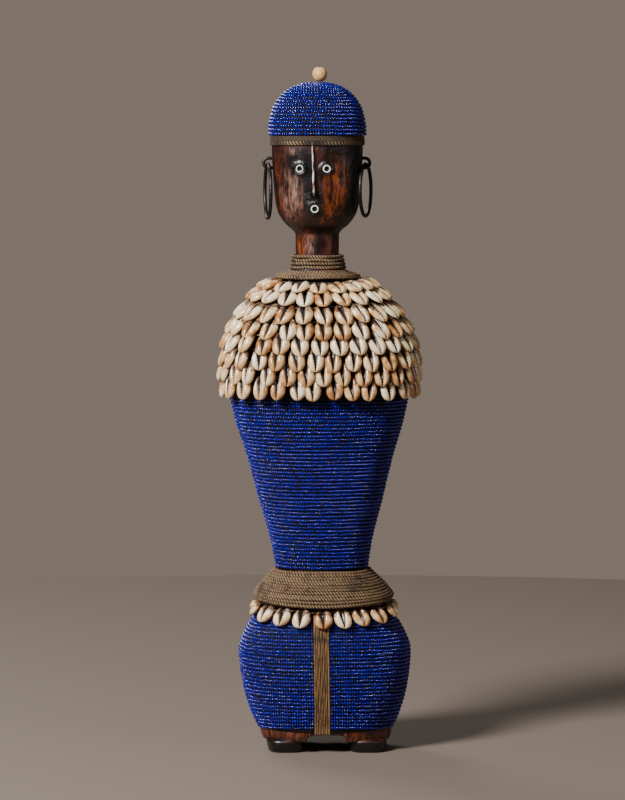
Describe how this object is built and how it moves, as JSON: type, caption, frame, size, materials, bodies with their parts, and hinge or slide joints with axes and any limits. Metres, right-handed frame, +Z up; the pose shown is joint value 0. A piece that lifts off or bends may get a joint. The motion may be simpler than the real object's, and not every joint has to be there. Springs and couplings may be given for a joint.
{
  "type": "namji doll",
  "caption": "Carved wooden figure doll dressed in blue glass beadwork, rows of cowrie shells and twisted cord, with iron hoop earrings.",
  "frame": {"origin": "on the floor under the middle of the doll", "axes": "+Z up, the face and the front strip look along -Y, +X towards the doll's left hand side"},
  "size_m": [0.1547, 0.1164, 0.5104],
  "materials": {
    "wood": "oiled and smoked, glossy",
    "blue_beads": "glossy",
    "shell": "polished",
    "cord": "matt twisted fibre",
    "cloth": "matt",
    "iron": "dark forged wire",
    "white_beads": "glossy",
    "pale_wood": "bare"
  },
  "bodies": {
    "root": {"carved_figure": "wood", "right_eye_bead": "white_beads", "left_eye_bead": "white_beads", "mouth_bead": "white_beads", "headband": "cord", "beaded_cap": "blue_beads", "cap_bead": "pale_wood", "left_ear_staple": "iron", "right_ear_staple": "iron", "left_hoop_earring": "iron", "right_hoop_earring": "iron", "neck_cord": "cord", "shell_backing": "cloth", "cowrie_row_1": "shell", "cowrie_row_2": "shell", "cowrie_row_3": "shell", "cowrie_row_4": "shell", "cowrie_row_5": "shell", "cowrie_row_6": "shell", "cowrie_row_7": "shell", "cowrie_row_8": "shell", "torso_beadwork": "blue_beads", "cord_skirt": "cord", "skirt_cowries": "shell", "left_leg_beadwork": "blue_beads", "right_leg_beadwork": "blue_beads", "front_strip": "cord", "back_strip": "cord"}
  },
  "joints": []
}
